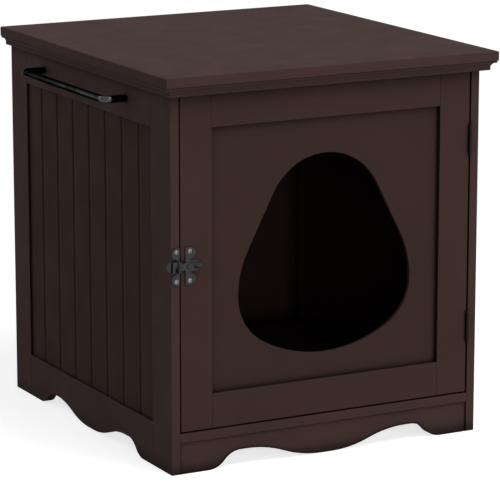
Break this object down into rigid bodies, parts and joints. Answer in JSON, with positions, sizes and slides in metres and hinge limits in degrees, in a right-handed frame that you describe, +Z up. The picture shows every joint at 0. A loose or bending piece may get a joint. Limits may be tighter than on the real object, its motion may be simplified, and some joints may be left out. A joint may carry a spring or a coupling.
{
  "type": "cat litter box cabinet",
  "caption": "Small espresso cabinet with beadboard sides, cove-moulded top, scalloped feet, a latched hinged door with an egg-shaped entrance hole, and a side towel bar.",
  "frame": {"origin": "middle of the whole object's bounding box, on the ground under the feet", "axes": "+Z up, -Y out of the door side, +Y towards the back, +X towards the hinged side of the door (right when facing the door)"},
  "size_m": [0.4968, 0.506, 0.508],
  "materials": {
    "painted_board": "satin espresso paint on fibreboard",
    "black_steel": "gloss black",
    "latch_metal": "semi-gloss black over steel",
    "hinge_metal": "satin bronze",
    "zinc_fittings": "zinc plated",
    "dowel_wood": "bare beech"
  },
  "bodies": {
    "cabinet": {"back_panel": "painted_board", "cabinet_dowels": "dowel_wood", "cam_bolts": "zinc_fittings", "cam_locks": "zinc_fittings", "door_stop": "painted_board", "door_stop_screws": "zinc_fittings", "floor_panel": "painted_board", "front_apron": "painted_board", "front_moulding": "painted_board", "front_stretcher": "painted_board", "hinge_cabinet_screws": "hinge_metal", "hinge_pins": "hinge_metal", "latch_keeper": "latch_metal", "latch_strike_plate": "latch_metal", "latch_strike_screws": "latch_metal", "left_beadboard": "painted_board", "left_bottom_rail": "painted_board", "left_front_stile": "painted_board", "left_moulding": "painted_board", "left_rear_stile": "painted_board", "left_top_rail": "painted_board", "lower_hinge_cabinet_leaf": "hinge_metal", "right_beadboard": "painted_board", "right_bottom_rail": "painted_board", "right_front_stile": "painted_board", "right_moulding": "painted_board", "right_rear_stile": "painted_board", "right_top_rail": "painted_board", "stretcher_screws": "zinc_fittings", "top_panel": "painted_board", "towel_bar": "black_steel", "towel_bar_screws": "black_steel", "upper_hinge_cabinet_leaf": "hinge_metal"},
    "door": {"door_latch_stile": "painted_board", "door_hinge_stile": "painted_board", "door_top_rail": "painted_board", "door_bottom_rail": "painted_board", "door_panel": "painted_board", "door_dowels": "dowel_wood", "upper_hinge_door_leaf": "hinge_metal", "lower_hinge_door_leaf": "hinge_metal", "hinge_door_screws": "hinge_metal", "latch_base_plate": "latch_metal", "latch_base_screws": "latch_metal", "latch_pivot_rivet": "latch_metal"},
    "latch_arm": {"latch_arm": "latch_metal"}
  },
  "joints": [
    {"name": "door_hinge", "type": "hinge", "parent": "cabinet", "child": "door", "pos_m": [0.21918, -0.2338, 0.268], "axis": [0, 0, 1], "range_deg": [0, 170]},
    {"name": "latch_swing", "type": "hinge", "parent": "door", "child": "latch_arm", "pos_m": [-0.19073, -0.2345, 0.268], "axis": [0, 1, 0], "range_deg": [0, 90]}
  ]
}
